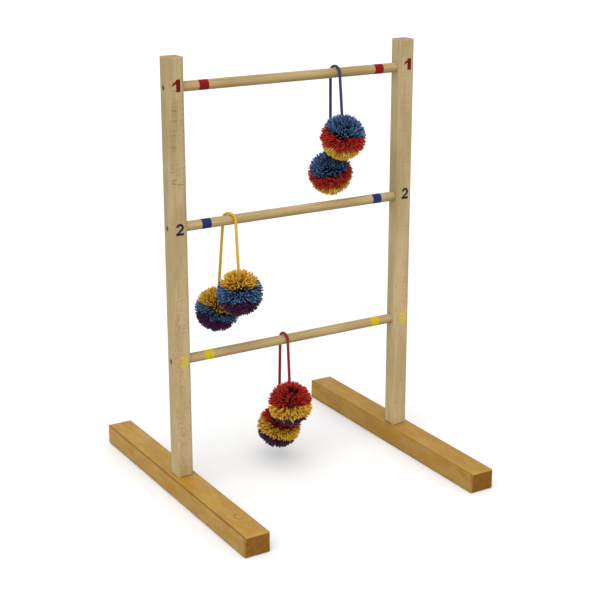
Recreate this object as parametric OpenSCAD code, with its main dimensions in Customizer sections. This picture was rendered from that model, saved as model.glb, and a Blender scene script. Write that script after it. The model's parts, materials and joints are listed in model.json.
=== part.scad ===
// Ladder-toss game: a wooden stand with three rungs, and three bolas hung over the rungs.
// Millimetres. +X runs along the rungs, +Y runs from the front to the back, and +Z is up.
// The origin is on the floor, at the middle of the stand.

/* [Stand] */
// Length of each base bar, front to back
bar_length = 505; // [440:5:600]
// Width of each base bar
bar_width = 45; // [40:1:60]
// Height of each base bar
bar_height = 35; // [32:1:50]
// Height of the stand
stand_height = 720; // [700:5:800]
// Distance between the centre lines of the posts
post_spacing = 427; // [410:1:520]
// Side of each square post
post_side = 30; // [28:1:36]
// Radius of the posts' upright edges
post_edge_r = 7.5; // [3:0.5:9]
// Rounding on the bars' edges. The posts' ends have half of it
eased_edge = 4; // [1:0.5:6]

/* [Rungs] */
// Diameter of the rungs
rung_d = 16; // [14:1:18]
// Height of the bottom rung's centre line
bottom_rung_height = 233; // [225:1:245]
// Distance from one rung to the next
rung_pitch = 220; // [212:1:230]
// Depth of the rung sockets in the posts
socket_depth = 15; // [10:1:16]
// Length of each painted band
band_length = 16.5; // [10:0.5:25]
// Distance from a post's inner face to the near end of a band
band_inset = 28; // [15:1:60]
// Height of the numerals on the posts
numeral_height = 19; // [14:1:24]

/* [Bolas] */
// Diameter of each filament ball
ball_d = 78; // [72:1:80]
// Diameter of the cords
cord_d = 5; // [3:0.5:6]
// Space between a cord and its rung
cord_lift = 0.4; // [0.3:0.1:1]
// Space between the two balls of a bola
ball_gap = 0.6; // [0.4:0.1:2]

/* [Hidden] */

TOP = 0;
MIDDLE = 1;
BOTTOM = 2;
FRONT = 0;
BACK = 1;
LEFT = -1;
RIGHT = 1;

$fn = 64;
eps = 0.1;

BEECH = [0.80, 0.70, 0.53];
HONEY = [0.75, 0.57, 0.27];
STEEL = [0.35, 0.35, 0.36];
BLACK = [0.08, 0.08, 0.09];
RED = [0.66, 0.12, 0.10];
BLUE = [0.13, 0.32, 0.55];
YELLOW = [0.88, 0.68, 0.12];
PURPLE = [0.32, 0.10, 0.38];
ROW_COLOURS = [[0.59, 0.08, 0.10], [0.14, 0.22, 0.55], [0.84, 0.73, 0.12]];
CORD_COLOURS = [[0.16, 0.24, 0.55], [0.84, 0.69, 0.12], [0.67, 0.14, 0.14]];

// Stand
post_x = post_spacing / 2;
post_inner_x = post_x - post_side / 2;
rung_z = [for (row = [TOP, MIDDLE, BOTTOM]) bottom_rung_height + (BOTTOM - row) * rung_pitch];
rung_r = rung_d / 2;
socket_r = rung_r + 0.05;
rung_end_x = post_inner_x + socket_depth - 0.5;
film = 0.12;

// Screw through each post into the rung's end
screw_length = 38;
screw_r = 2;
screw_head_r = 3.7;
screw_head_height = 2.6;
screw_tip_length = 5;
screw_hole_r = 2.15;
screw_sink_r = 4.5;
screw_sink_depth = 5;
pilot_r = 1.5;
pilot_depth = 26;
drive_slot = [0.9, 4.4];
drive_depth = 1.6;

// Bolt, washer, insert and dowel between each post and its bar
bolt_y = -6;
bolt_r = 3;
bolt_hole_r = 3.4;
bolt_head_r = 5;
bolt_head_height = 6;
bolt_sink_r = 7;
bolt_sink_depth = 12;
bolt_length = 42;
hex_key = 5;
hex_depth = 3;
washer_r = 6;
washer_thickness = 1.6;
insert_r = 5;
insert_length = 15;
insert_hole_depth = 26;
dowel_y = 7;
dowel_r = 4;
dowel_half = 15;
dowel_spare = 1;

// Cords. The loop runs over the rung, and a leg runs down from each of its ends.
cord_r = cord_d / 2;
loop_r = rung_r + cord_lift + cord_r;
cord_sides = 8;
loop_rings = 9;
leg_rings = 4;
// Half of the gap that lets a leg swing at the loop's end
swing_gap = 1;
swing_gap_angle = swing_gap / loop_r * 180 / PI;

// Each bola, top to bottom: where the cord's legs leave the rung along X, where the balls hang along X,
// and how far each ball's centre hangs below the rung's centre line. Front first, then back.
leg_top_x = [[82, 78], [-113, -124], [-17, -19]];
ball_x = [[83, 90], [-117, -124], [-19, -12]];
ball_drop = [[103, 172], [114, 158], [108, 168]];

// Each ball's filament layers: the lean of the layers' pole about X and Y, and the two cuts between the
// layers as shares of the radius, above and below the centre.
layer_lean = [[[17, 3], [14, -19]], [[5, -6], [2, 24]], [[-8, 0], [10, 13]]];
layer_cuts = [[[0.40, -0.36], [0.40, -0.30]], [[0.55, -0.10], [0.04, -0.38]], [[0.09, -0.58], [0.36, -0.30]]];

// Tie round the filaments' waist, and the knot against it
ball_r = ball_d / 2;
tie_inner_r = 5;
tie_outer_r = 7;
tie_width = 4;
knot_r = 4;
knot_centre = tie_outer_r + knot_r;
fit_gap = 0.05;
channel_gap = 0.3;

function front_or_back(end) = end == FRONT ? -1 : 1;

// How far each leg leans outward, in millimetres for each millimetre that its ball hangs down. It is the larger
// of two leans: the one that keeps the two balls apart, and the one that keeps the front ball off the back leg.
function balls_apart_y(row) = sqrt(pow(ball_d + ball_gap, 2)
    - pow(ball_drop[row][BACK] - ball_drop[row][FRONT], 2) - pow(ball_x[row][BACK] - ball_x[row][FRONT], 2));
function lean_of_legs(row) = max(
    (balls_apart_y(row) - 2 * loop_r) / (ball_drop[row][FRONT] + ball_drop[row][BACK]),
    (ball_r + cord_r + ball_gap - 2 * loop_r) / (2 * ball_drop[row][FRONT])
);
function ball_y(row, end) = front_or_back(end) * (loop_r + lean_of_legs(row) * ball_drop[row][end]);
function ball_centre(row, end) = [ball_x[row][end], ball_y(row, end), rung_z[row] - ball_drop[row][end]];

// The leg leaves the loop's circle along its tangent.
function leg_length(row, end) = sqrt(pow(ball_y(row, end), 2) + pow(ball_drop[row][end], 2) - pow(loop_r, 2));
function leg_tilt(row, end) = atan2(abs(ball_y(row, end)), ball_drop[row][end])
    - atan2(loop_r, leg_length(row, end));
function leg_top(row, end) = [
    leg_top_x[row][end],
    front_or_back(end) * loop_r * cos(leg_tilt(row, end)),
    rung_z[row] + loop_r * sin(leg_tilt(row, end))
];

function unit(v) = v / norm(v);
function leg_direction(row, end) = unit(ball_centre(row, end) - leg_top(row, end));

// Points along the leg, from just below the rung down to the knot.
function leg_points(row, end) = let (
    start = leg_top(row, end) + swing_gap * leg_direction(row, end),
    stop = ball_centre(row, end) - knot_centre * leg_direction(row, end)
) [for (i = [0 : leg_rings - 1]) start + (stop - start) * i / (leg_rings - 1)];

// Points over the rung, from the front leg's top to the back leg's top.
function loop_points(row) = let (
    first = leg_tilt(row, FRONT) + swing_gap_angle,
    last = 180 - leg_tilt(row, BACK) - swing_gap_angle
) [for (i = [0 : loop_rings - 1]) let (
    share = i / (loop_rings - 1),
    angle = first + (last - first) * share
) [
    leg_top_x[row][FRONT] + (leg_top_x[row][BACK] - leg_top_x[row][FRONT]) * share,
    -loop_r * cos(angle),
    rung_z[row] + loop_r * sin(angle)
]];

function route_direction(points, i) = unit(points[min(i + 1, len(points) - 1)] - points[max(i - 1, 0)]);
// A vector across the route. Every route here runs mostly across X.
function across(direction) = unit(cross(direction, [1, 0, 0]));
function ring_points(centre, direction, radius) = let (
    side = across(direction),
    other = cross(direction, side)
) [for (k = [0 : cord_sides - 1]) centre + radius * (cos(360 * k / cord_sides) * side
    + sin(360 * k / cord_sides) * other)];

module cord_tube(points) {
    rings = len(points);
    corners = [for (i = [0 : rings - 1]) each ring_points(points[i], route_direction(points, i), cord_r)];
    walls = [for (i = [0 : rings - 2]) for (k = [0 : cord_sides - 1]) let (
        a = i * cord_sides + k,
        b = i * cord_sides + (k + 1) % cord_sides
    ) each [[a, a + cord_sides, b + cord_sides], [a, b + cord_sides, b]]];
    first_cap = [for (k = [0 : cord_sides - 1]) k];
    last_cap = [for (k = [cord_sides - 1 : -1 : 0]) (rings - 1) * cord_sides + k];
    polyhedron(corners, concat(walls, [first_cap], [last_cap]));
}

// A rectangle with round corners, centred, made of straight sides and arcs.
module rounded_rectangle(size, r) {
    square([size[0] - 2 * r, size[1]], center = true);
    square([size[0], size[1] - 2 * r], center = true);
    for (x = [-1, 1])
        for (y = [-1, 1])
            translate([x * (size[0] / 2 - r), y * (size[1] / 2 - r)])
                circle(r);
}

// A bar standing on the XY plane, with one radius on its upright edges and a small one round each end.
module eased_bar(size, upright_r, end_r) {
    intersection() {
        linear_extrude(size[2])
            rounded_rectangle([size[0], size[1]], upright_r);
        translate([0, size[1] / 2 + eps, size[2] / 2])
            rotate([90, 0, 0])
                linear_extrude(size[1] + 2 * eps)
                    rounded_rectangle([size[0], size[2]], end_r);
        translate([-size[0] / 2 - eps, 0, size[2] / 2])
            rotate([90, 0, 90])
                linear_extrude(size[0] + 2 * eps)
                    rounded_rectangle([size[1], size[2]], end_r);
    }
}

module base_bar(side) {
    color(HONEY)
        difference() {
            translate([side * post_x, 0, 0])
                eased_bar([bar_width, bar_length, bar_height], eased_edge, eased_edge);
            translate([side * post_x, bolt_y, -eps])
                cylinder(r = bolt_sink_r, h = bolt_sink_depth + eps);
            translate([side * post_x, bolt_y, 0])
                cylinder(r = bolt_hole_r, h = bar_height + eps);
            translate([side * post_x, dowel_y, bar_height - dowel_half - dowel_spare])
                cylinder(r = dowel_r + fit_gap, h = dowel_half + dowel_spare + eps);
        }
}

module post(side) {
    length = stand_height - bar_height;
    color(BEECH)
        difference() {
            translate([side * post_x, 0, bar_height])
                eased_bar([post_side, post_side, length], post_edge_r, eased_edge / 2);
            for (z = rung_z) {
                translate([side * (post_inner_x - eps), 0, z])
                    rotate([0, side * 90, 0])
                        cylinder(r = socket_r, h = socket_depth + eps);
                translate([side * post_inner_x, 0, z])
                    rotate([0, side * 90, 0])
                        cylinder(r = screw_hole_r, h = post_side);
                translate([side * (post_x + post_side / 2 - screw_sink_depth), 0, z])
                    rotate([0, side * 90, 0])
                        cylinder(r = screw_sink_r, h = screw_sink_depth + eps);
            }
            translate([side * post_x, bolt_y, bar_height - eps])
                cylinder(r = insert_r + fit_gap, h = insert_length + eps);
            translate([side * post_x, bolt_y, bar_height])
                cylinder(r = bolt_hole_r, h = insert_hole_depth);
            translate([side * post_x, dowel_y, bar_height - eps])
                cylinder(r = dowel_r + fit_gap, h = dowel_half + dowel_spare + eps);
        }
}

module rung(row) {
    color(BEECH)
        difference() {
            translate([-rung_end_x, 0, rung_z[row]])
                rotate([0, 90, 0])
                    cylinder(r = rung_r, h = 2 * rung_end_x);
            for (side = [LEFT, RIGHT])
                translate([side * (rung_end_x + eps), 0, rung_z[row]])
                    rotate([0, -side * 90, 0])
                        cylinder(r = pilot_r, h = pilot_depth + eps);
        }
}

module bands(row) {
    color(ROW_COLOURS[row])
        for (side = [LEFT, RIGHT])
            translate([side * (post_inner_x - band_inset), 0, rung_z[row]])
                rotate([0, -side * 90, 0])
                    difference() {
                        cylinder(r = rung_r + film, h = band_length);
                        translate([0, 0, -eps])
                            cylinder(r = rung_r, h = band_length + 2 * eps);
                    }
}

// A part of a ring from angle first to angle last, as a flat outline. wider stretches the ring along X, but not the
// width of the stroke.
module arc_stroke(r, width, first, last, wider = 1) {
    steps = 14;
    function spoke(out, i) = let (a = first + (last - first) * i / steps)
        [(wider * r + out) * cos(a), (r + out) * sin(a)];
    polygon(concat(
        [for (i = [0 : steps]) spoke(width / 2, i)],
        [for (i = [steps : -1 : 0]) spoke(-width / 2, i)]
    ));
}

// How far each numeral's centre is above its rung's: on the left post, then on the right one
numeral_lift = [[4, 6], [0, 6], [1, 2]];

// The numerals stand one unit high and centred, so these sizes are shares of their height.
stroke = 0.2;
numeral_half_width = 0.35;
one_stem = 0.37;
two_foot_angle = -35;

module numeral_one() {
    stem_left = numeral_half_width - one_stem;
    translate([stem_left, -0.5])
        square([one_stem, 1]);
    polygon([[stem_left, 0.17], [stem_left + one_stem / 2, 0.5], [0.12, 0.5],
        [-numeral_half_width, 0.15], [-numeral_half_width, -0.05]]);
}

module numeral_two() {
    bowl_y = 0.5 - numeral_half_width;
    function bowl_foot(r) = [0, bowl_y] + r * [cos(two_foot_angle), sin(two_foot_angle)];
    translate([0, bowl_y])
        arc_stroke(numeral_half_width - stroke / 2, stroke, two_foot_angle, 170);
    polygon([bowl_foot(numeral_half_width), bowl_foot(numeral_half_width - stroke),
        [-numeral_half_width, -0.36], [-numeral_half_width, -0.5 + stroke], [-0.05, -0.5 + stroke]]);
    translate([-numeral_half_width, -0.5])
        square([2 * numeral_half_width, stroke]);
}

module numeral_three() {
    bowl_r = (1 - stroke) / 4;
    wider = (numeral_half_width - stroke / 2) / bowl_r;
    for (upper = [true, false])
        translate([0, upper ? bowl_r : -bowl_r])
            arc_stroke(bowl_r, stroke, upper ? -90 : -155, upper ? 155 : 90, wider);
    translate([-bowl_r * wider / 2, -stroke / 2])
        square([bowl_r * wider / 2, stroke]);
}

module numerals(row) {
    color(ROW_COLOURS[row])
        for (side = [LEFT, RIGHT])
            translate([side * post_x, -post_side / 2, rung_z[row] + numeral_lift[row][side == LEFT ? 0 : 1]])
                rotate([90, 0, 0])
                    linear_extrude(film)
                        scale(numeral_height) {
                            if (row == TOP) numeral_one();
                            if (row == MIDDLE) numeral_two();
                            if (row == BOTTOM) numeral_three();
                        }
}

// A wood screw along +Z, with the underside of its head at the origin and its head below.
module wood_screw() {
    difference() {
        translate([0, 0, -screw_head_height])
            cylinder(r = screw_head_r, h = screw_head_height);
        for (turn = [0, 90])
            rotate([0, 0, turn])
                translate([-drive_slot[0] / 2, -drive_slot[1] / 2, -screw_head_height - eps])
                    cube([drive_slot[0], drive_slot[1], drive_depth + eps]);
    }
    cylinder(r = screw_r, h = screw_length - screw_tip_length);
    translate([0, 0, screw_length - screw_tip_length])
        cylinder(r1 = screw_r, r2 = 0.3, h = screw_tip_length);
}

module rung_screws() {
    color(STEEL)
        for (side = [LEFT, RIGHT])
            for (z = rung_z)
                translate([side * (post_x + post_side / 2 - screw_sink_depth), 0, z])
                    rotate([0, -side * 90, 0])
                        wood_screw();
}

module foot_bolts() {
    head_top = bolt_sink_depth - washer_thickness;
    color(STEEL)
        for (side = [LEFT, RIGHT])
            translate([side * post_x, bolt_y, head_top]) {
                cylinder(r = bolt_r, h = bolt_length);
                difference() {
                    translate([0, 0, -bolt_head_height])
                        cylinder(r = bolt_head_r, h = bolt_head_height);
                    translate([0, 0, -bolt_head_height - eps])
                        cylinder(d = hex_key / cos(30), h = hex_depth + eps, $fn = 6);
                }
            }
}

module foot_washers() {
    color(STEEL)
        for (side = [LEFT, RIGHT])
            translate([side * post_x, bolt_y, bolt_sink_depth - washer_thickness])
                difference() {
                    cylinder(r = washer_r, h = washer_thickness);
                    translate([0, 0, -eps])
                        cylinder(r = bolt_hole_r, h = washer_thickness + 2 * eps);
                }
}

module foot_inserts() {
    color([0.75, 0.60, 0.25])
        for (side = [LEFT, RIGHT])
            translate([side * post_x, bolt_y, bar_height])
                difference() {
                    cylinder(r = insert_r, h = insert_length);
                    translate([0, 0, -eps])
                        cylinder(r = bolt_r + fit_gap, h = insert_length + 2 * eps);
                }
}

module foot_dowels() {
    color(BEECH)
        for (side = [LEFT, RIGHT])
            translate([side * post_x, dowel_y, bar_height - dowel_half])
                cylinder(r = dowel_r, h = 2 * dowel_half);
}

module cord_loop(row) {
    color(CORD_COLOURS[row])
        cord_tube(loop_points(row));
}

module cord_leg(row, end) {
    color(CORD_COLOURS[row]) {
        cord_tube(leg_points(row, end));
        translate(ball_centre(row, end) - knot_centre * leg_direction(row, end))
            sphere(knot_r, $fn = 24);
    }
}

// The tie is a flat ring round the filaments' waist, with its axis along X.
module tie_ring(gap) {
    rotate([0, 90, 0])
        translate([0, 0, -tie_width / 2 - gap])
            difference() {
                cylinder(r = tie_outer_r + gap, h = tie_width + 2 * gap);
                translate([0, 0, -eps])
                    cylinder(r = tie_inner_r - gap, h = tie_width + 2 * gap + 2 * eps);
            }
}

module tie(row, end) {
    color(BLACK)
        translate(ball_centre(row, end))
            tie_ring(0);
}

// Turns its children's +Z to the direction v, about the origin.
module along(v) {
    rotate([0, acos(v[2] / norm(v)), atan2(v[1], v[0])])
        children();
}

// One layer of a ball's filaments: 0 is the top one, 1 the middle one and 2 the bottom one.
module filaments(row, end, layer, colour) {
    cuts = concat([1.1], layer_cuts[row][end], [-1.1]) * ball_r;
    lean = layer_lean[row][end];
    up = -leg_direction(row, end);
    color(colour)
        translate(ball_centre(row, end))
            difference() {
                intersection() {
                    sphere(ball_r);
                    rotate([lean[0], lean[1], 0])
                        translate([-ball_d, -ball_d, cuts[layer + 1]])
                            cube([2 * ball_d, 2 * ball_d, cuts[layer] - cuts[layer + 1]]);
                }
                tie_ring(fit_gap);
                along(up)
                    translate([0, 0, knot_centre])
                        cylinder(r = cord_r + channel_gap, h = ball_d);
                translate(up * knot_centre)
                    sphere(knot_r + fit_gap, $fn = 24);
            }
}

base_bar(LEFT);  // left_base_bar
base_bar(RIGHT);  // right_base_bar
post(LEFT);  // left_post
post(RIGHT);  // right_post
rung(TOP);  // top_rung
rung(MIDDLE);  // middle_rung
rung(BOTTOM);  // bottom_rung
bands(TOP);  // top_bands
bands(MIDDLE);  // middle_bands
bands(BOTTOM);  // bottom_bands
numerals(TOP);  // top_numerals
numerals(MIDDLE);  // middle_numerals
numerals(BOTTOM);  // bottom_numerals
rung_screws();
foot_bolts();
foot_washers();
foot_inserts();
foot_dowels();
cord_loop(TOP);  // top_cord_loop
cord_leg(TOP, FRONT);  // top_front_cord
cord_leg(TOP, BACK);  // top_back_cord
cord_loop(MIDDLE);  // middle_cord_loop
cord_leg(MIDDLE, FRONT);  // middle_front_cord
cord_leg(MIDDLE, BACK);  // middle_back_cord
cord_loop(BOTTOM);  // bottom_cord_loop
cord_leg(BOTTOM, FRONT);  // bottom_front_cord
cord_leg(BOTTOM, BACK);  // bottom_back_cord
filaments(TOP, FRONT, 0, BLUE);  // top_front_blue_filaments
filaments(TOP, FRONT, 1, RED);  // top_front_red_filaments
filaments(TOP, FRONT, 2, YELLOW);  // top_front_yellow_filaments
filaments(TOP, BACK, 0, BLUE);  // top_back_blue_filaments
filaments(TOP, BACK, 1, RED);  // top_back_red_filaments
filaments(TOP, BACK, 2, YELLOW);  // top_back_yellow_filaments
filaments(MIDDLE, FRONT, 0, YELLOW);  // middle_front_yellow_filaments
filaments(MIDDLE, FRONT, 1, BLUE);  // middle_front_blue_filaments
filaments(MIDDLE, FRONT, 2, PURPLE);  // middle_front_purple_filaments
filaments(MIDDLE, BACK, 0, YELLOW);  // middle_back_yellow_filaments
filaments(MIDDLE, BACK, 1, BLUE);  // middle_back_blue_filaments
filaments(MIDDLE, BACK, 2, PURPLE);  // middle_back_purple_filaments
filaments(BOTTOM, FRONT, 0, RED);  // bottom_front_red_filaments
filaments(BOTTOM, FRONT, 1, YELLOW);  // bottom_front_yellow_filaments
filaments(BOTTOM, FRONT, 2, PURPLE);  // bottom_front_purple_filaments
filaments(BOTTOM, BACK, 0, RED);  // bottom_back_red_filaments
filaments(BOTTOM, BACK, 1, YELLOW);  // bottom_back_yellow_filaments
filaments(BOTTOM, BACK, 2, PURPLE);  // bottom_back_purple_filaments
tie(TOP, FRONT);  // top_front_tie
tie(TOP, BACK);  // top_back_tie
tie(MIDDLE, FRONT);  // middle_front_tie
tie(MIDDLE, BACK);  // middle_back_tie
tie(BOTTOM, FRONT);  // bottom_front_tie
tie(BOTTOM, BACK);  // bottom_back_tie
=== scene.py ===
"""Looks of the ladder-toss game: camera, cords, filament balls, wood, paint, metal and light.

Every length is in metres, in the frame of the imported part: +X along the rungs, +Y to the back and
+Z up.
"""
import json
import math

import bpy
import numpy as np
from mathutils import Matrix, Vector


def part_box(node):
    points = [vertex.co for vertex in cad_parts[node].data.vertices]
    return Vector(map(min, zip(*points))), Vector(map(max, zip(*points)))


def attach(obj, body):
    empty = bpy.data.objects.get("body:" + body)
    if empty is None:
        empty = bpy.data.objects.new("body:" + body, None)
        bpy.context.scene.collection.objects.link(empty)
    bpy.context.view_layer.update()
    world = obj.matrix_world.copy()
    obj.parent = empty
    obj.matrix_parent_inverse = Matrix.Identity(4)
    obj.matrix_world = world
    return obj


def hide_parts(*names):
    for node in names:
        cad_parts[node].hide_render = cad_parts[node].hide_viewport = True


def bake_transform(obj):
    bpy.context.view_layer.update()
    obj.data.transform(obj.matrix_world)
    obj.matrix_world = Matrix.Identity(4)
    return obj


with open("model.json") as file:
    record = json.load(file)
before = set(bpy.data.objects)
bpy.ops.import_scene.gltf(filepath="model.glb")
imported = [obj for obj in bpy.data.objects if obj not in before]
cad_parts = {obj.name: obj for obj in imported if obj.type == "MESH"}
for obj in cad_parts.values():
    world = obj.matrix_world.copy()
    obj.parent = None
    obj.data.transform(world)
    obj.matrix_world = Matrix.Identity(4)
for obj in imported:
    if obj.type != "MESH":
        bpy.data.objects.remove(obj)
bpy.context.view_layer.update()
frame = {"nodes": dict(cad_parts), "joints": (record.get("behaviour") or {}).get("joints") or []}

MM = 0.001
ROWS = ("top", "middle", "bottom")
ENDS = ("front", "back")
CORD_COLOURS = {"top": "blue", "middle": "yellow", "bottom": "red"}
ROW_PAINTS = {"top": "red", "middle": "blue", "bottom": "yellow"}
LAYER_COLOURS = {
    "top": ("blue", "red", "yellow"),
    "middle": ("yellow", "blue", "purple"),
    "bottom": ("red", "yellow", "purple"),
}


# ---- Places taken from the frame -----------------------------------------------------------------


def middle_of(node):
    low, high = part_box(node)
    return np.array((low + high) / 2)


def size_of(node):
    low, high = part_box(node)
    return np.array(high - low)


def unit(v):
    return v / np.linalg.norm(v, axis=-1, keepdims=True)


JOINTS = {j["name"]: j for j in frame["joints"]}
LEG_TOP = {(r, e): np.array(JOINTS[f"{r}_{e}_swing"]["pos_m"]) for r in ROWS for e in ENDS}
BALL_CENTRE = {(r, e): middle_of(f"{r}_{e}_tie") for r in ROWS for e in ENDS}
RUNG_CENTRE = {r: middle_of(f"{r}_rung") for r in ROWS}
LAYER_BOXES = [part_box(f"top_front_{colour}_filaments") for colour in LAYER_COLOURS["top"]]
BALL_LOW, BALL_HIGH = min(low.x for low, _ in LAYER_BOXES), max(high.x for _, high in LAYER_BOXES)
BALL_RADIUS = (BALL_HIGH - BALL_LOW) / 2


# ---- Camera --------------------------------------------------------------------------------------


def make_camera():
    data = bpy.data.cameras.new("camera")
    data.lens = 82.0
    data.sensor_width = 36.0
    data.shift_y = -0.05
    camera = bpy.data.objects.new("camera", data)
    camera.location = (-1.1175, -1.8674, 0.9960)
    camera.rotation_euler = (math.radians(73.5), 0.0, math.radians(-31.2))
    bpy.context.scene.collection.objects.link(camera)
    bpy.context.scene.camera = camera


# ---- Mesh helpers --------------------------------------------------------------------------------


def new_piece(name, points, faces, smooth):
    """A mesh object. smooth says of each face whether it is shaded smooth."""
    mesh = bpy.data.meshes.new(name)
    mesh.from_pydata(points, [], faces)
    mesh.polygons.foreach_set("use_smooth", smooth)
    mesh.update()
    piece = bpy.data.objects.new(name, mesh)
    bpy.context.scene.collection.objects.link(piece)
    return piece


def set_shade(piece, name, values):
    """Stores one number per point, for the piece's material to read."""
    attribute = piece.data.attributes.new(name, "FLOAT", "POINT")
    attribute.data.foreach_set("value", np.ravel(values).astype(np.float32))


def tube_faces(rings, sides):
    """Quads of a closed tube whose points run ring by ring, and its two end faces."""
    here = np.arange(sides)
    after = (here + 1) % sides
    near = sides * np.arange(rings - 1)[:, None]
    far = near + sides
    quads = np.stack([near + here, near + after, far + after, far + here], axis=-1)
    return quads.reshape(-1, 4), here[::-1], sides * (rings - 1) + here


# ---- Cords ---------------------------------------------------------------------------------------

CORD_RADIUS = 2.5 * MM
KNOT_RADIUS = 4.0 * MM
KNOT_FROM_CENTRE = 11.0 * MM
KNOT_TIP = 0.3  # radius of the knot's flat end, as a share of the knot's
CORD_SIDES = 40
LOOP_POINTS = 60
RING_STEP = 0.4 * MM
# The braid: the yarns that run each way round the cord, the length of one stitch, how deep the
# stitches are, and how much of a yarn's height comes from passing over the others
YARNS_EACH_WAY = 5
STITCH = 3.8 * MM
BRAID_DEPTH = 0.16
OVER_SHARE = 0.38


def smoothstep(t):
    t = np.clip(t, 0.0, 1.0)
    return t * t * (3.0 - 2.0 * t)


def cord_route(row, end):
    """The middle line of half a bola's cord: over the rung from its top, and down into the ball."""
    rung = RUNG_CENTRE[row]
    front, back = LEG_TOP[row, "front"], LEG_TOP[row, "back"]
    first = math.atan2(front[2] - rung[2], -front[1])
    last = math.pi - math.atan2(back[2] - rung[2], back[1])
    radius = math.hypot(front[1], front[2] - rung[2])
    share = np.linspace(0.5, 0.0 if end == "front" else 1.0, LOOP_POINTS)
    angle = first + (last - first) * share
    loop = np.stack([
        front[0] + (back[0] - front[0]) * smoothstep(share),
        -radius * np.cos(angle),
        rung[2] + radius * np.sin(angle),
    ], axis=1)
    leg_top, centre = LEG_TOP[row, end], BALL_CENTRE[row, end]
    down = unit(centre - leg_top)
    cord_end = centre - (KNOT_FROM_CENTRE - KNOT_RADIUS) * down
    return np.concatenate([loop, [cord_end]])


def evenly(points, step):
    """Points a step apart along a line of points, and how far along it each one is."""
    along = np.concatenate([[0.0], np.cumsum(np.linalg.norm(np.diff(points, axis=0), axis=1))])
    at = np.linspace(0.0, along[-1], round(along[-1] / step) + 1)
    return np.stack([np.interp(at, along, points[:, k]) for k in range(3)], axis=1), at


def braid_height(angle, along):
    """Height of a round braid's surface, from 0 to 1. Its yarns run both ways, over and under."""
    right = YARNS_EACH_WAY * angle / (2 * math.pi) + along / STITCH
    left = YARNS_EACH_WAY * angle / (2 * math.pi) - along / STITCH
    over = np.cos(math.pi * (left + np.round(right)))
    under = np.cos(math.pi * (right + np.round(left)))
    level = 1.0 - OVER_SHARE
    right_yarn = np.abs(np.cos(math.pi * right)) * (level + OVER_SHARE * over)
    left_yarn = np.abs(np.cos(math.pi * left)) * (level - OVER_SHARE * under)
    return np.maximum(right_yarn, left_yarn)


def make_cord(row, end):
    centres, along = evenly(cord_route(row, end), RING_STEP)
    direction = unit(np.gradient(centres, axis=0))
    side = unit(np.cross(direction, [1.0, 0.0, 0.0]))
    other = np.cross(direction, side)
    angle = 2 * math.pi * np.arange(CORD_SIDES) / CORD_SIDES
    yarn = braid_height(angle[None, :], along[:, None])
    radius = CORD_RADIUS * (1.0 - BRAID_DEPTH * (1.0 - yarn))
    from_knot = (along - (along[-1] - KNOT_RADIUS)) / KNOT_RADIUS
    knot = KNOT_RADIUS * np.sqrt(np.clip(1.0 - from_knot**2, 0.0, 1.0))
    knot[-1] = KNOT_TIP * KNOT_RADIUS
    in_knot = np.abs(from_knot)[:, None] < 1.0
    radius = np.where(in_knot, np.maximum(radius, knot[:, None]), radius)
    radius[-1] = knot[-1]
    outward = (np.cos(angle)[None, :, None] * side[:, None, :]
               + np.sin(angle)[None, :, None] * other[:, None, :])
    points = centres[:, None, :] + radius[:, :, None] * outward
    quads, start, stop = tube_faces(len(centres), CORD_SIDES)
    faces = quads.tolist() + [start.tolist(), stop.tolist()]
    smooth = [True] * len(quads) + [False, False]
    cord = new_piece(f"{row}_{end}_braided_cord", points.reshape(-1, 3).tolist(), faces, smooth)
    # The braid's height, from which the cord's material paints shade between the yarns.
    set_shade(cord, "yarn", yarn)
    cord.data.materials.append(cord_material(CORD_COLOURS[row]))
    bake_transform(cord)
    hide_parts(f"{row}_{end}_cord")
    if end == "front":
        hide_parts(f"{row}_cord_loop")


# ---- Filament balls ------------------------------------------------------------------------------

# Each ball's layers, as in the part: the lean of the layers' pole about X and Y in degrees, and the
# heights of the two cuts as shares of the radius
LAYER_LEAN = {
    ("top", "front"): (17, 3), ("top", "back"): (14, -19),
    ("middle", "front"): (5, -6), ("middle", "back"): (2, 24),
    ("bottom", "front"): (-8, 0), ("bottom", "back"): (10, 13),
}
LAYER_CUTS = {
    ("top", "front"): (0.40, -0.36), ("top", "back"): (0.40, -0.30),
    ("middle", "front"): (0.55, -0.10), ("middle", "back"): (0.04, -0.38),
    ("bottom", "front"): (0.09, -0.58), ("bottom", "back"): (0.36, -0.30),
}
STRANDS = 2300
STRAND_WIDTH = 1.2 * MM
STRAND_SIDES = 4
STRAND_RINGS = np.array([0.0, 0.3, 0.55, 0.78, 0.98, 1.0])  # shares of the way to the tip
WIDTH_SPREAD = (0.8, 1.1)
TIP_SHARE = 0.75  # a tip's width, as a share of the strand's
DIRECTION_SCATTER = 0.024
# Strands that point along the tie's hole, which runs along X, start in it. The others start just
# outside the tie. Near their roots they are squeezed to a multiple of the room that each one has.
TIE_HOLE_SHARE = 0.4
ROOT_IN_TIE = 3.0 * MM
ROOT_ON_TIE = 7.3 * MM
ROOT_PACKING = 1.35
# How much a single strand and a whole tuft may fall short of the ball's surface, and how rare short
# ones are: the power that an even spread from 0 to 1 is raised to
STRAND_SHORT, STRAND_RARITY = 5.5 * MM, 1.8
TUFT_SHORT, TUFT_RARITY = 3 * MM, 1.5
# Strands stick together in tufts: the share of them that lead one, and how far the others lean to
# their leader, as a share of the way and with its spread
TUFT_LEADERS = 0.42
TUFT_PULL = 0.36
PULL_SPREAD = (0.4, 1.3)
# How far the tips bend aside: neighbours together over a clump's length, each on its own, and down
CLUMP_BEND, CLUMP_LENGTH = 0.9 * MM, 14 * MM
LOOSE_BEND = 1.1 * MM
DROOP = 1.5 * MM
# A layer's ragged edge: (height, length) of its waves and each strand's own scatter, on a unit ball
EDGE_WAVES = ((0.05, 1.1), (0.035, 0.35))
EDGE_SCATTER = 0.045
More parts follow.
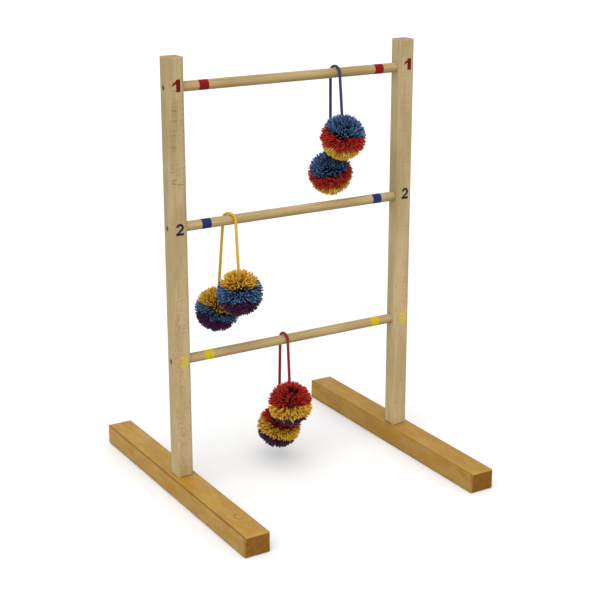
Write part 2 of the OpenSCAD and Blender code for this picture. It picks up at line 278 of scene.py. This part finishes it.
# The filaments part between two layers, and the lower layer hangs away from the upper one. These
# gaps on the upper and the lower side of the parting and the room round the cord are angles from
# the ball's centre.
UPPER_GAP = math.radians(1.5)
LOWER_GAP = math.radians(4)
CORD_ROOM = math.radians(5.5)
CORD_PUSH = math.radians(20)
# On the bottom bola's front ball the filaments part beside the cord and leave a dark hollow. Round
# it the strands are painted dark, as painted shade, which fades out between two multiples of its
# room.
HOLLOW = {("bottom", "front"): np.array([-0.10, -0.43, 0.90])}
HOLLOW_ROOM = math.radians(10)
HOLLOW_REACH = math.radians(22)
HOLLOW_PAINTED_LIGHT = 0.4
HOLLOW_SHADE_EDGE, HOLLOW_SHADE_EDGE_WIDTH = 1.2, 0.5
# A smooth random field is a sum of waves: how many there are, and the spread of their rates
WAVE_COUNT = 14
WAVE_SPREAD = (0.7, 1.4)
BALL_SEED = 5  # starts the random draws, with the ball's place


def golden_spiral(count):
    """Directions spread evenly over a sphere."""
    step = np.arange(count) + 0.5
    height = 1.0 - 2.0 * step / count
    turn = math.pi * (3.0 - math.sqrt(5.0)) * step
    flat = np.sqrt(1.0 - height**2)
    return np.stack([flat * np.cos(turn), flat * np.sin(turn), height], axis=1)


def waves(rng, points, length):
    """A smooth random vector for each point, about one unit long, that changes over a length."""
    total = np.zeros_like(points)
    for _ in range(WAVE_COUNT):
        wave = unit(rng.normal(size=3)) * 2 * math.pi / length * rng.uniform(*WAVE_SPREAD)
        total += rng.normal(size=3) * np.sin(points @ wave + rng.uniform(0, 2 * math.pi))[:, None]
    return total / math.sqrt(WAVE_COUNT / 2)


def away_from(axis, directions, along):
    """The direction, at right angles to an axis, that each of the directions leans to."""
    return unit(directions - along[:, None] * axis + 1e-9)


def pushed_off(directions, axis, room, reach):
    """Turns directions within reach of an axis away from it, so that none is within room of it."""
    axis = unit(axis)
    along = np.clip(directions @ axis, -1.0, 1.0)
    angle = np.arccos(along)
    sideways = away_from(axis, directions, along)
    new_angle = room + angle * (reach - room) / reach
    turned = np.cos(new_angle)[:, None] * axis + np.sin(new_angle)[:, None] * sideways
    return np.where((angle < reach)[:, None], turned, directions)


def layer_pole(row, end):
    lean_x, lean_y = (math.radians(a) for a in LAYER_LEAN[row, end])
    flat = math.cos(lean_x)
    return np.array([flat * math.sin(lean_y), -math.sin(lean_x), flat * math.cos(lean_y)])


def in_layers(rng, directions, pole, cuts):
    """Which layer each direction is in, and the directions drawn off the layers' edges."""
    along = directions @ pole
    sideways = away_from(pole, directions, along)
    ragged = sum(height * waves(rng, sideways, length)[:, 0] for height, length in EDGE_WAVES)
    ragged += EDGE_SCATTER * rng.normal(size=len(directions))
    polar = np.arccos(np.clip(along + ragged, -1.0, 1.0))
    edges = [0.0, *(math.acos(c) for c in cuts), math.pi]
    layer = np.digitize(polar, edges[1:3])
    low, high = np.array(edges)[layer], np.array(edges)[layer + 1]
    gap_low = np.where(layer == 0, 0.0, LOWER_GAP)
    gap_high = np.where(layer == 2, 0.0, UPPER_GAP)
    room = high - low
    moved = low + gap_low + (polar - low) * (room - gap_low - gap_high) / room
    turn = moved - polar
    real = np.arccos(np.clip(along, -1.0, 1.0)) + turn
    return layer, np.cos(real)[:, None] * pole + np.sin(real)[:, None] * sideways


def tuft_leaders(rng, directions, layer):
    """The number of the strand that leads each strand's tuft: the nearest one in its layer."""
    leads = rng.random(len(directions)) < TUFT_LEADERS
    leader = np.arange(len(directions))
    for number in range(3):
        own = np.flatnonzero(layer == number)
        leaders = np.flatnonzero(leads & (layer == number))
        leader[own] = leaders[(directions[own] @ directions[leaders].T).argmax(axis=1)]
    return leader


def strands(rng, centre, directions, reach, tip_shift):
    """Points of one closed, square, blunt-ended filament for each direction, ring by ring."""
    along_hole = np.abs(directions[:, 0]) > TIE_HOLE_SHARE
    root = np.where(along_hole, ROOT_IN_TIE, ROOT_ON_TIE)[:, None]
    radius = root + (reach[:, None] - root) * STRAND_RINGS
    bend = (STRAND_RINGS**2)[None, :, None]
    bent = directions[:, None, :] * radius[..., None] + tip_shift[:, None, :] * bend
    axis = unit(bent) * radius[..., None]
    packed = ROOT_PACKING * math.sqrt(4 * math.pi / STRANDS) * radius
    width = STRAND_WIDTH * rng.uniform(*WIDTH_SPREAD, size=len(directions))[:, None]
    corner = np.minimum(width, packed) / math.sqrt(2)
    corner[:, -1] *= TIP_SHARE
    side = unit(np.cross(directions, rng.normal(size=directions.shape)))
    other = np.cross(directions, side)
    angle = 2 * math.pi * np.arange(STRAND_SIDES) / STRAND_SIDES
    ring = (np.cos(angle)[:, None] * side[:, None, :]
            + np.sin(angle)[:, None] * other[:, None, :])
    points = centre + axis[:, :, None, :] + corner[:, :, None, None] * ring[:, None, :, :]
    return points, radius


def make_ball(row, end):
    rng = np.random.default_rng([ROWS.index(row), ENDS.index(end), BALL_SEED])
    centre = BALL_CENTRE[row, end]
    turned, _ = np.linalg.qr(rng.normal(size=(3, 3)))
    directions = golden_spiral(STRANDS) @ turned
    directions = unit(directions + DIRECTION_SCATTER * rng.normal(size=directions.shape))
    pole = layer_pole(row, end)
    layer, directions = in_layers(rng, directions, pole, LAYER_CUTS[row, end])
    directions = pushed_off(directions, LEG_TOP[row, end] - centre, CORD_ROOM, CORD_PUSH)
    # Each strand's painted light: 1, or less where painted shade darkens it round a hollow.
    painted_light = np.ones(STRANDS)
    if (row, end) in HOLLOW:
        directions = pushed_off(directions, HOLLOW[row, end], HOLLOW_ROOM, HOLLOW_REACH)
        from_hollow = np.arccos(np.clip(directions @ unit(HOLLOW[row, end]), -1.0, 1.0))
        rim = smoothstep((from_hollow / HOLLOW_ROOM - HOLLOW_SHADE_EDGE) / HOLLOW_SHADE_EDGE_WIDTH)
        painted_light = HOLLOW_PAINTED_LIGHT + (1.0 - HOLLOW_PAINTED_LIGHT) * rim
    surface = directions * BALL_RADIUS
    clumps = CLUMP_BEND * waves(rng, surface, CLUMP_LENGTH)
    loose = LOOSE_BEND * rng.normal(size=surface.shape)
    droop = np.array([0.0, 0.0, -DROOP])
    leader = tuft_leaders(rng, directions, layer)
    pull = TUFT_PULL * BALL_RADIUS * rng.uniform(*PULL_SPREAD, size=(STRANDS, 1))
    tip_shift = pull * (directions[leader] - directions) + clumps + loose + droop
    tip_shift -= (tip_shift * directions).sum(1, keepdims=True) * directions
    tuft_short = TUFT_SHORT * rng.random(STRANDS)[leader] ** TUFT_RARITY
    strand_short = STRAND_SHORT * rng.random(STRANDS) ** STRAND_RARITY
    reach = BALL_RADIUS - (tuft_short + strand_short)
    points, radius = strands(rng, centre, directions, reach, tip_shift)
    rings = len(STRAND_RINGS)
    per_strand = rings * STRAND_SIDES
    shades = {
        "tint": np.repeat(rng.random(STRANDS), per_strand).reshape(STRANDS, per_strand),
        # height is each point's share of the ball's radius, lowered by the painted shade round a
        # hollow; the material paints shade from it towards the tie.
        "height": np.repeat(painted_light[:, None] * radius / BALL_RADIUS, STRAND_SIDES, axis=1),
    }
    quads, start, stop = tube_faces(rings, STRAND_SIDES)
    for number, colour in enumerate(LAYER_COLOURS[row]):
        chosen = np.flatnonzero(layer == number)
        offsets = per_strand * np.arange(len(chosen))[:, None, None]
        sides = (offsets + quads[None]).reshape(-1, 4).tolist()
        caps = (offsets + np.stack([start, stop])[None]).reshape(-1, STRAND_SIDES).tolist()
        faces = sides + caps
        piece = new_piece(f"{row}_{end}_{colour}_strands", points[chosen].reshape(-1, 3).tolist(),
                          faces, [False] * len(faces))
        for name, values in shades.items():
            set_shade(piece, name, values[chosen])
        piece.data.materials.append(filament_material(colour))
        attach(piece, f"{row}_{end}_ball")
        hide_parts(f"{row}_{end}_{colour}_filaments")


# ---- Materials -----------------------------------------------------------------------------------


class Nodes:
    """A Principled material under construction."""

    def __init__(self, name):
        self.material = bpy.data.materials.new(name)
        self.material.use_nodes = True
        self.tree = self.material.node_tree
        self.shader = self.tree.nodes["Principled BSDF"]

    def set(self, **sockets):
        for name, value in sockets.items():
            self.feed(self.shader.inputs[name.replace("_", " ")], value)

    def feed(self, socket, value):
        if isinstance(value, bpy.types.NodeSocket):
            self.tree.links.new(value, socket)
        else:
            socket.default_value = value

    def add(self, kind, inputs=(), **settings):
        node = self.tree.nodes.new("ShaderNode" + kind)
        for name, value in settings.items():
            setattr(node, name, value)
        for name, value in dict(inputs).items():
            self.feed(node.inputs[name], value)
        return node

    def math(self, operation, *values, clamp=False):
        return self.add("Math", enumerate(values), operation=operation, use_clamp=clamp).outputs[0]

    def part(self, value, share):
        return self.math("MULTIPLY", value, share)

    def total(self, first, *others):
        for other in others:
            first = self.math("ADD", first, other)
        return first

    def blend(self, *shares):
        """The sum of some values, each given with its share."""
        return self.total(*(self.part(value, share) for value, share in shares))

    def vector(self, operation, *values):
        return self.add("VectorMath", enumerate(values), operation=operation).outputs[0]

    def step(self, value, low, high):
        """0 at low and 1 at high, with a smooth way between them. low may be the larger."""
        return self.add("MapRange", {"Value": value, "From Min": low, "From Max": high},
                        interpolation_type="SMOOTHSTEP").outputs[0]

    def noise(self, vector, scale, detail=2.0, roughness=0.5):
        """Noise from about 0 to 1. scale is how often it changes in a metre along each axis."""
        stretched = self.vector("MULTIPLY", vector, scale)
        return self.add("TexNoise", {"Vector": stretched, "Scale": 1.0, "Detail": detail,
                                     "Roughness": roughness}).outputs[0]

    def mix(self, share, a, b, how="MIX"):
        """Colour a where share is 0, and b where it is 1."""
        node = self.add("Mix", data_type="RGBA", blend_type=how)
        for index, value in ((0, share), (6, a), (7, b)):
            self.feed(node.inputs[index], value)
        return node.outputs[2]

    def bump(self, height, distance, strength):
        inputs = {"Height": height, "Distance": distance, "Strength": strength}
        return self.add("Bump", inputs).outputs[0]

    def place(self):
        return self.add("TexCoord").outputs["Object"]

    def facing(self):
        return self.add("TexCoord").outputs["Normal"]

    def own_shade(self, name):
        """The number that set_shade stored under this name."""
        return self.add("Attribute", attribute_name=name).outputs["Fac"]


# The studio light on an upright face. Colours are given as they look in it, from 0 to 255.
STUDIO_LIGHT = 1.34


def seen(red, green, blue):
    """The linear colour of a surface that looks like this in the studio's light."""
    def one(value):
        value /= 255
        linear = value / 12.92 if value <= 0.04045 else ((value + 0.055) / 1.055) ** 2.4
        return linear / STUDIO_LIGHT
    return one(red), one(green), one(blue), 1.0


def darker(colour, share):
    return [share * c for c in colour]


def tone_of(red, green, blue):
    """A factor on a colour, for a mix that multiplies."""
    return red, green, blue, 1.0


MADE = {}


def once(make):
    """Keeps each material that a function makes, and gives the same one for the same arguments."""
    def kept(*arguments):
        key = (make.__name__, *arguments)
        if key not in MADE:
            MADE[key] = make(*arguments)
        return MADE[key]
    return kept


# Painted shade between a cord's yarns, and the yarns' own colour
CORD_COLOUR = {
    "blue": ((34, 38, 72), (60, 68, 112)),
    "yellow": ((176, 118, 24), (248, 206, 60)),
    "red": ((100, 16, 16), (172, 38, 34)),
}
# Painted shade deep between the strands, then a dull and a bright strand's own colour
FILAMENT_COLOURS = {
    "blue": ((8, 18, 40), (20, 50, 92), (106, 148, 194)),
    "red": ((114, 10, 18), (162, 20, 24), (218, 66, 42)),
    "yellow": ((164, 86, 10), (210, 138, 26), (255, 224, 84)),
    "purple": ((28, 4, 24), (54, 10, 52), (94, 42, 84)),
}
# The darkest painted shade, at the filaments' roots
NEARLY_BLACK = (0.004, 0.002, 0.002, 1.0)
PAINT_COLOUR = {"red": (146, 20, 20), "blue": (38, 54, 108), "yellow": (222, 190, 36)}
# The numerals are dabbed on through a stencil, in a thicker and darker coat.
NUMERAL_COLOUR = {"red": (118, 20, 12), "blue": (30, 36, 60), "yellow": (228, 200, 38)}


@once
def cord_material(colour):
    """Braided cord: fine fibres, and painted darker between the yarns: painted shade in the braid's
    valleys.
    """
    m = Nodes(f"{colour}_cord")
    place = m.place()
    fibres = m.noise(place, (2600.0, 2600.0, 1500.0), 2.0)
    patches = m.noise(place, (140.0, 140.0, 60.0), 1.0)
    shade = m.blend((fibres, 0.6), (patches, 0.4))
    yarn_shade, bright = CORD_COLOUR[colour]
    surface = m.mix(m.step(shade, 0.3, 0.62), seen(*darker(bright, 0.84)), seen(*bright))
    # Where the yarn height is low the colour is painted darker: painted shade in the braid's
    # valleys.
    m.set(Base_Color=m.mix(m.step(m.own_shade("yarn"), 0.3, 0.8), seen(*yarn_shade), surface),
          Roughness=m.total(0.62, m.part(fibres, 0.25)), Sheen_Weight=0.1,
          Sheen_Roughness=0.5, Specular_IOR_Level=0.15, Normal=m.bump(fibres, 0.15 * MM, 0.6))
    return m.material


@once
def filament_material(colour):
    """Rubber filaments: each has its own tint, and they are painted darker towards the tie: painted
    shade between the strands.
    """
    m = Nodes(f"{colour}_filaments")
    tint = m.step(m.own_shade("tint"), 0.1, 0.9)
    height = m.own_shade("height")
    deep, dull, bright = (seen(*c) for c in FILAMENT_COLOURS[colour])
    dust = m.noise(m.place(), (1500.0, 1500.0, 1500.0), 2.0)
    strand = m.mix(m.blend((tint, 0.75), (dust, 0.25)), dull, bright)
    # Towards the tie the strands are painted dark: painted shade between the strands.
    shaded = m.mix(m.step(height, 0.3, 0.7), NEARLY_BLACK, deep)
    m.set(Base_Color=m.mix(m.step(height, 0.58, 0.97), shaded, strand),
          Roughness=m.total(0.42, m.part(dust, 0.25)), Specular_IOR_Level=0.25,
          Normal=m.bump(dust, 0.08 * MM, 0.5))
    return m.material


# For each axis of the grain, the two axes across it: along the growth rings and through them
ACROSS = {"X": ("Y", "Z"), "Y": ("X", "Z"), "Z": ("X", "Y")}


class Wood(Nodes):
    """Solid wood whose grain runs along one axis. start moves the pattern, so that no two pieces
    are alike."""

    def __init__(self, name, grain, start):
        super().__init__(name)
        place = self.add("SeparateXYZ", {0: self.place()}).outputs
        facing = self.add("SeparateXYZ", {0: self.facing()}).outputs
        across, through = ACROSS[grain]
        self.at = place
        self.across, self.through, self.along = place[across], place[through], place[grain]
        self.own = self.vector("ADD", self.add("CombineXYZ", {
            0: self.across, 1: self.through, 2: self.along}).outputs[0], start)
        self.start = start
        end_on = self.math("ABSOLUTE", facing[grain])
        self.cut_end = self.step(end_on, 0.75, 0.97)
        self.end_edge = self.math("MULTIPLY", self.step(end_on, 0.1, 0.4),
                                  self.step(end_on, 0.97, 0.8))
        self.faces_up = self.step(facing["Z"], 0.1, 0.5)
        self.flat_face = self.step(self.math("ABSOLUTE", facing[through]), 0.4, 0.8)
        self.fine = self.noise(self.own, (1500.0, 1500.0, 26.0), 3.0, 0.6)
        self.marks = []

    def rings(self, width, knots=()):
        """Growth rings, 1 on the dark late wood. They wander, and bend round each knot."""
        wander = self.math("SUBTRACT", self.noise(self.own, (16.0, 16.0, 2.6), 3.0, 0.45), 0.5)
        bow = self.part(self.math("POWER", self.total(self.across, self.start[0]), 2.0), 5.5)
        depth = self.total(self.through, self.part(wander, 34 * MM), bow)
        for x, y, radius in knots:
            near = self.step(self.distance(x, y), 3.2 * radius, 0.0)
            depth = self.total(depth, self.part(near, 7 * MM))
        ring = self.math("FRACT", self.math("DIVIDE", depth, width))
        return self.math("MULTIPLY", self.step(ring, 0.25, 0.92), self.step(ring, 1.0, 0.94))

    def distance(self, x, y, z=None, length=1.0):
        """How far a point is from an upright line, or from a place. Along Y, length times as far
        counts as much."""
        upright = z is None
        off = self.vector("SUBTRACT", self.place(), (x, y, 0.0 if upright else z))
        off = self.vector("MULTIPLY", off, (1.0, 1 / length, 0.0 if upright else 1.0))
        return self.add("VectorMath", {0: off}, operation="LENGTH").outputs["Value"]

    def streaks(self):
        """Long straight streaks, a few millimetres wide."""
        return self.step(self.noise(self.own, (330.0, 330.0, 6.0), 2.0, 0.55), 0.36, 0.64)

    def clouds(self, size, length):
        return self.step(self.noise(self.own, (1 / size, 1 / size, 1 / length), 2.0), 0.36, 0.62)

    def flecks(self):
        """Short dark flecks along the grain, on the flat-sawn faces."""
        stretched = self.vector("MULTIPLY", self.own, (560.0, 300.0, 250.0))
        cells = self.add("TexVoronoi", {"Vector": stretched, "Scale": 1.0}).outputs["Distance"]
        return self.math("MULTIPLY", self.step(cells, 0.46, 0.14), self.flat_face)

    def ripples(self):
        """Wavy dark strokes across the grain."""
        strokes = self.step(self.noise(self.own, (45.0, 45.0, 360.0), 2.0), 0.5, 0.62)
        return self.math("MULTIPLY", strokes, self.flat_face)

    def ends(self, colour, end_colour, ring):
        """The cut ends soak up more finish, and show the growth rings and open pores."""
        pores = self.step(self.noise(self.own, (1900.0, 1900.0, 40.0), 2.0, 0.6), 0.45, 0.7)
        self.marks.append(self.math("MULTIPLY", pores, self.cut_end))
        patches = self.step(self.noise(self.own, (130.0, 130.0, 20.0), 3.0, 0.6), 0.32, 0.68)
        shade = self.blend((pores, 0.3), (patches, 0.4), (ring, 0.4))
        end = self.mix(shade, seen(*end_colour), seen(*darker(end_colour, 0.76)))
        return self.mix(self.cut_end, colour, end)

    def finished(self, colour, roughness):
        """Sets the colour, and lets the fine grain and the marks show in the gloss and relief."""
        height = self.fine
        for mark in self.marks:
            height = self.math("SUBTRACT", height, self.part(mark, 0.7))
        rough = self.total(roughness, self.part(self.fine, 0.16), self.part(self.cut_end, 0.15))
        self.set(Base_Color=colour, Roughness=rough, Specular_IOR_Level=0.1,
                 Normal=self.bump(height, 0.12 * MM, 0.5))


BEECH_PALE, BEECH_DARK = (206, 184, 142), (164, 141, 98)
BEECH_PINK, BEECH_OLIVE = tone_of(1.05, 0.95, 0.96), tone_of(0.94, 1.0, 0.91)
BEECH_FLECK, BEECH_END = (124, 96, 52), (178, 156, 116)
RUNG_TONE = {"top": tone_of(0.86, 0.80, 0.72), "middle": tone_of(0.92, 0.93, 0.84),
             "bottom": tone_of(0.92, 0.90, 0.84)}
PLAIN, BLACK = tone_of(1.0, 1.0, 1.0), (0.0, 0.0, 0.0, 1.0)


def beech(node, grain, start, ring_width=5 * MM, fleck_places=(), ripple_places=(),
          darker_top=0.0, underside=None, tone=PLAIN):
    """Pale beech. fleck_places and ripple_places are stretches (middle, half length) along the
    grain that have them. darker_top is how much darker an upright piece gets towards its top.
    underside is the height of a rung's centre line, under which the wood is painted darker: painted
    shade on the rung's underside. tone is the piece's own colour against the others'."""
    m = Wood(f"{node}_beech", grain, start)
    ring = m.rings(ring_width)
    shade = m.blend((ring, 0.30), (m.step(m.fine, 0.3, 0.7), 0.35),
                    (m.clouds(26 * MM, 120 * MM), 0.35))
    if underside is not None:
        # Under the rung's centre line the wood is painted darker: painted shade on the underside.
        painted_underside_shade = m.step(m.at["Z"], underside + 3 * MM, underside - 8 * MM)
        shade = m.total(shade, m.part(painted_underside_shade, 0.55))
    colour = m.mix(shade, seen(*BEECH_PALE), seen(*BEECH_DARK))
    colour = m.mix(0.9, colour, m.mix(m.streaks(), BEECH_PINK, BEECH_OLIVE), "MULTIPLY")
    if darker_top:
        colour = m.mix(m.part(m.step(m.along, 0.2, 0.6), darker_top), colour, BLACK)
    colour = m.mix(1.0, colour, tone, "MULTIPLY")
    for marks, places, strength in ((m.flecks(), fleck_places, 0.75),
                                    (m.ripples(), ripple_places, 0.55)):
        where = m.part(m.clouds(14 * MM, 30 * MM), 0.25)
        for middle, half in places:
            off = m.math("ABSOLUTE", m.math("SUBTRACT", m.along, middle))
            near = m.step(off, half, 0.6 * half)
            spread = m.math("MULTIPLY", near, m.clouds(9 * MM, 40 * MM))
            where = m.math("MAXIMUM", where, spread)
        mark = m.math("MULTIPLY", marks, where)
        m.marks.append(mark)
        colour = m.mix(m.part(mark, strength), colour, seen(*BEECH_FLECK))
    m.finished(m.ends(colour, BEECH_END, ring), 0.45)
    finish(node, m.material)


HONEY_PALE, HONEY_DARK = (192, 155, 76), (158, 116, 44)
HONEY_ORANGE, HONEY_ROSE = (180, 120, 26), (182, 140, 94)
# The last colour here is for the ends' upper edges: worn stain with a painted highlight.
HONEY_LINE, HONEY_END, HONEY_WORN_HIGHLIGHT = (116, 78, 24), (147, 95, 28), (192, 150, 70)
HONEY_SPECK = (84, 34, 18)
BAR_EDGE = 4 * MM  # radius of the bars' rounded long edges


def honey_bar(node, start, foot, edge_line, tone, knots=(), specks=()):
    """A honey-stained bar. The stain is stronger along the bar's edges. Round the post's foot the
    bar is
    painted darker and more orange: painted contact shade and the post's reflection. The upper
    rounded
    edges of its ends are painted lighter: worn stain with a painted highlight. edge_line is how
    strong the dark line along its long edges is, knots are (x, y, half width), and specks are the
    places of small dark spots."""
    m = Wood(f"{node}_honey", "Y", start)
    ring = m.rings(6 * MM, knots)
    shade = m.blend((ring, 0.25), (m.step(m.fine, 0.3, 0.7), 0.35),
                    (m.clouds(20 * MM, 60 * MM), 0.4))
    colour = m.mix(shade, seen(*HONEY_PALE), seen(*HONEY_DARK))
    colour = m.mix(m.part(m.clouds(11 * MM, 26 * MM), 0.45), colour, seen(*HONEY_ORANGE))
    rose = m.step(m.noise(m.own, (95.0, 95.0, 45.0), 3.0, 0.6), 0.5, 0.64)
    colour = m.mix(m.part(rose, 0.6), colour, seen(*HONEY_ROSE))
    # Round the post's foot the bar is painted darker and more orange: painted contact shade and the
    # post's reflection.
    near = m.step(m.distance(*foot), 62 * MM, 20 * MM)
    painted_foot_shade = m.math("MULTIPLY", near, m.clouds(30 * MM, 60 * MM))
    colour = m.mix(m.part(painted_foot_shade, 0.75), colour, seen(*HONEY_ORANGE))
    for x, y, radius in knots:
        far = m.distance(x, y, length=1.7)
        off_rim = m.math("ABSOLUTE", m.math("SUBTRACT", far, radius))
        rim = m.math("SUBTRACT", 1.0, m.step(off_rim, 0.3 * MM, 1.3 * MM))
        open_side = m.step(m.math("SUBTRACT", m.at["X"], x), 0.95 * radius, 0.5 * radius)
        colour = m.mix(m.part(m.math("MULTIPLY", rim, open_side), 0.6), colour, seen(*HONEY_LINE))
    colour = m.ends(colour, HONEY_END, ring)
    colour = m.mix(m.part(long_edge(m, node), edge_line), colour, seen(*HONEY_LINE))
    # Where the ends' rounded edges face up they are painted lighter: worn stain with a painted
    # highlight.
    end_edge = m.mix(m.faces_up, seen(*HONEY_LINE), seen(*HONEY_WORN_HIGHLIGHT))
    colour = m.mix(m.part(m.end_edge, 0.4), colour, end_edge)
    for speck in specks:
        spot = m.step(m.distance(*speck), 1.9 * MM, 0.8 * MM)
        colour = m.mix(m.part(spot, 0.85), colour, seen(*HONEY_SPECK))
    m.finished(m.mix(1.0, colour, tone, "MULTIPLY"), 0.40)
    finish(node, m.material)


def long_edge(m, node):
    """1 along the middle of a bar's rounded long edges, and 0 from the flat faces on."""
    centre, half = middle_of(node), size_of(node) / 2

    def from_face(k):
        off = m.math("ABSOLUTE", m.math("SUBTRACT", m.at[k], float(centre[k])))
        return m.math("SUBTRACT", float(half[k]), off)

    wander = m.part(m.math("SUBTRACT", m.noise(m.own, (60.0, 60.0, 30.0), 2.0), 0.5), 0.9 * MM)
    edge = m.total(m.math("MAXIMUM", from_face(0), from_face(2)), wander)
    return m.step(edge, 0.78 * BAR_EDGE, 0.34 * BAR_EDGE)


@once
def paint_material(name, bright):
    """A thin brushed coat of paint, with the wood's fibres just showing through."""
    m = Nodes(name)
    place = m.place()
    brush = m.noise(place, (60.0, 900.0, 900.0), 3.0, 0.6)
    patches = m.noise(place, (220.0, 220.0, 220.0), 2.0)
    worn = m.step(m.noise(place, (420.0, 420.0, 420.0), 3.0, 0.65), 0.69, 0.74)
    body = m.mix(m.blend((brush, 0.5), (patches, 0.5)), seen(*darker(bright, 0.82)), seen(*bright))
    m.set(Base_Color=m.mix(m.part(worn, 0.6), body, seen(*BEECH_DARK)), Specular_IOR_Level=0.06,
          Roughness=m.total(0.42, m.part(patches, 0.2)), Normal=m.bump(brush, 0.06 * MM, 0.5))
    return m.material


@once
def metal_material(name, colour, roughness):
    """Plain metal, with faint scratches and a little grime."""
    m = Nodes(name)
    place = m.place()
    grime = m.noise(place, (500.0, 500.0, 500.0), 3.0, 0.6)
    scratches = m.noise(place, (3000.0, 300.0, 300.0), 2.0)
    shade = m.step(grime, 0.35, 0.65)
    m.set(Base_Color=m.mix(shade, seen(*darker(colour, 0.78)), seen(*colour)), Metallic=1.0,
          Roughness=m.total(roughness, m.part(grime, 0.25)),
          Normal=m.bump(scratches, 0.03 * MM, 0.5))
    return m.material


@once
def tie_material():
    """A black ribbed plastic tie."""
    m = Nodes("black_tie")
    ribs = m.noise(m.place(), (900.0, 200.0, 200.0), 2.0)
    m.set(Base_Color=m.mix(ribs, seen(14, 14, 15), seen(34, 34, 36)), Specular_IOR_Level=0.3,
          Roughness=m.total(0.45, m.part(ribs, 0.2)), Normal=m.bump(ribs, 0.1 * MM, 0.5))
    return m.material


def finish(node, material):
    """Gives a CAD node its material."""
    slots = frame["nodes"][node].data.materials
    slots.clear()
    slots.append(material)


def foot_of(side):
    return tuple(float(v) for v in middle_of(f"{side}_post")[:2])


def finish_stand():
    low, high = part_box("left_base_bar")
    honey_bar("left_base_bar", (0.013, 0.271, 0.41), foot_of("left"), 0.85,
              tone_of(0.98, 1.04, 1.04), knots=[(-0.211, -0.186, 5 * MM)],
              specks=[(low.x + 5 * MM, low.y, high.z - 13 * MM),
                      (low.x + 11 * MM, high.y - 12 * MM, high.z)])
    honey_bar("right_base_bar", (-0.021, 0.633, 1.17), foot_of("right"), 0.4,
              tone_of(0.91, 0.93, 0.82))
    beech("left_post", "Z", (0.006, 0.151, 0.93), fleck_places=[(0.13, 0.14), (0.30, 0.10)],
          ripple_places=[(0.60, 0.11)], darker_top=0.13)
    beech("right_post", "Z", (-0.009, 0.487, 2.31), fleck_places=[(0.25, 0.08)], darker_top=0.08)
    for number, row in enumerate(ROWS):
        start = (0.004 * number - 0.003, 0.217 + 0.31 * number, 1.3 + 0.77 * number)
        beech(f"{row}_rung", "X", start, 4 * MM, underside=float(RUNG_CENTRE[row][2]),
              tone=RUNG_TONE[row])
        paint = ROW_PAINTS[row]
        finish(f"{row}_bands", paint_material(f"{paint}_paint", PAINT_COLOUR[paint]))
        finish(f"{row}_numerals", paint_material(f"{paint}_numeral_paint", NUMERAL_COLOUR[paint]))
        for end in ENDS:
            finish(f"{row}_{end}_tie", tie_material())
    finish("rung_screws", metal_material("dark_steel", (104, 86, 62), 0.4))
    for node in ("foot_bolts", "foot_washers"):
        finish(node, metal_material("zinc_steel", (190, 190, 186), 0.25))
    finish("foot_inserts", metal_material("brass", (196, 160, 84), 0.25))
    beech("foot_dowels", "Z", (0.002, 0.83, 3.1), 3 * MM)


# ---- Floor and light -----------------------------------------------------------------------------


FLOOR_HALF = 40.0


def make_floor():
    corners = [(x * FLOOR_HALF, y * FLOOR_HALF, 0) for x, y in ((-1, -1), (1, -1), (1, 1), (-1, 1))]
    floor = new_piece("floor", corners, [(0, 1, 2, 3)], [False])
    m = Nodes("pale_floor")
    grain = m.noise(m.place(), (60.0, 60.0, 60.0), 3.0)
    m.set(Base_Color=m.mix(grain, (0.70, 0.70, 0.70, 1.0), (0.73, 0.73, 0.73, 1.0)),
          Specular_IOR_Level=0.1, Roughness=0.8)
    floor.data.materials.append(m.material)


def make_light():
    world = bpy.data.worlds.new("studio")
    world.use_nodes = True
    background = world.node_tree.nodes["Background"]
    background.inputs["Color"].default_value = (1.0, 1.0, 1.0, 1.0)
    background.inputs["Strength"].default_value = 1.0
    bpy.context.scene.world = world
    data = bpy.data.lights.new("key", "SUN")
    data.energy = 2.2
    data.angle = math.radians(60)
    key = bpy.data.objects.new("key", data)
    key.rotation_euler = Vector((-0.8, -1.1, 2.0)).to_track_quat("Z", "Y").to_euler()
    bpy.context.scene.collection.objects.link(key)
    bpy.context.scene.view_settings.view_transform = "Standard"


# ---- Everything ----------------------------------------------------------------------------------

make_camera()
for row in ROWS:
    for end in ENDS:
        make_cord(row, end)
for row in ROWS:
    for end in ENDS:
        make_ball(row, end)
finish_stand()
make_floor()
make_light()
